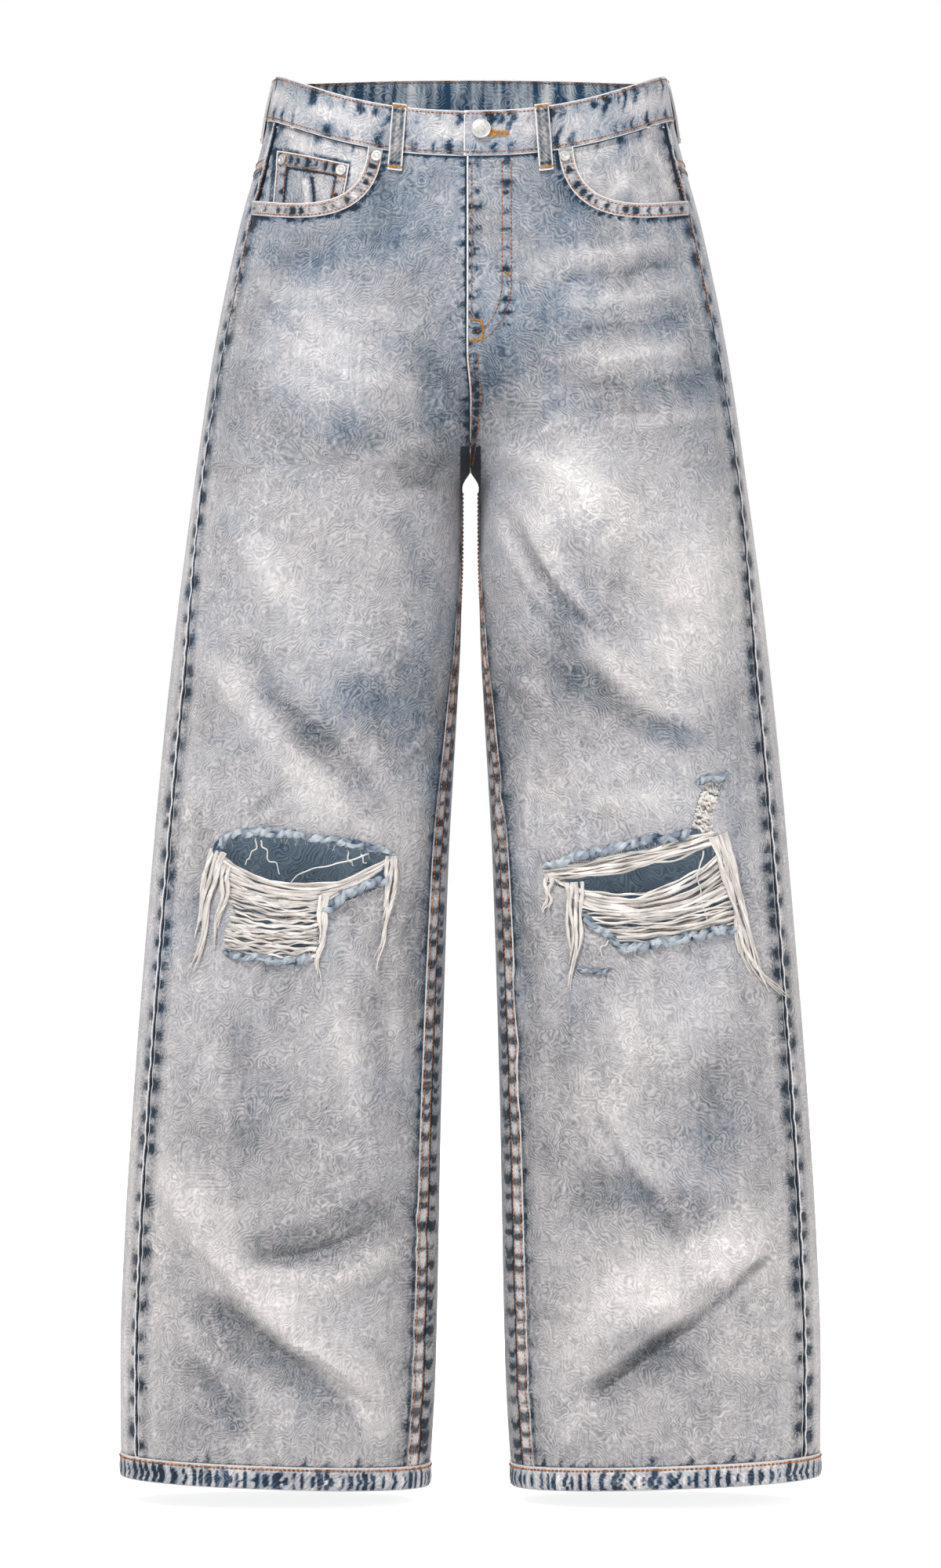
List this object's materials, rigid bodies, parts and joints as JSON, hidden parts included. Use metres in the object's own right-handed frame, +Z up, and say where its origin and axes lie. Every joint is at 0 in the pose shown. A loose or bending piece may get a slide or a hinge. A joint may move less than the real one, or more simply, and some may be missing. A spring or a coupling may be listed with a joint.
{
  "type": "wide-leg ripped jeans",
  "caption": "Hollow wide-leg denim jeans filled out as if worn, washed pale, buttoned at the waist, with torn knees and loose white threads.",
  "frame": {"origin": "centre of the waist opening, level with the waistband's top edge at the sides", "axes": "+Z up out of the waist, the front faces -Y, and the wearer's left leg is on the +X side"},
  "size_m": [0.5462, 0.24, 1.1069],
  "materials": {
    "denim_pale": "pale acid-washed cotton twill",
    "denim_seam": "roped and mottled seam edges of the same twill",
    "denim_dark": "less faded wrong side of the twill",
    "raw_thread": "loose undyed weft threads",
    "metal": "pale silver-coloured shank button and rivets"
  },
  "bodies": {
    "root": {"front_right": "denim_pale", "front_left": "denim_pale", "back_right": "denim_pale", "back_left": "denim_pale", "yoke_right": "denim_pale", "yoke_left": "denim_pale", "waistband": "denim_pale", "pocket_facing_right": "denim_pale", "pocket_facing_left": "denim_pale", "coin_pocket": "denim_pale", "back_pocket_right": "denim_pale", "back_pocket_left": "denim_pale", "pocket_edge_right": "denim_seam", "pocket_edge_left": "denim_seam", "hem_right": "denim_seam", "hem_left": "denim_seam", "belt_loop_front_right": "denim_seam", "belt_loop_front_left": "denim_seam", "belt_loop_side_right": "denim_seam", "belt_loop_side_left": "denim_seam", "belt_loop_back": "denim_seam", "fly_facing": "denim_dark", "rip_threads_right": "raw_thread", "rip_threads_left": "raw_thread", "fringe_right_1": "raw_thread", "fringe_right_2": "raw_thread", "fringe_right_3": "raw_thread", "fringe_left_1": "raw_thread", "fringe_left_2": "raw_thread", "pocket_rivet_right": "metal", "pocket_rivet_left": "metal", "coin_rivet_outer": "metal", "coin_rivet_inner": "metal", "waist_button": "metal"}
  },
  "joints": []
}
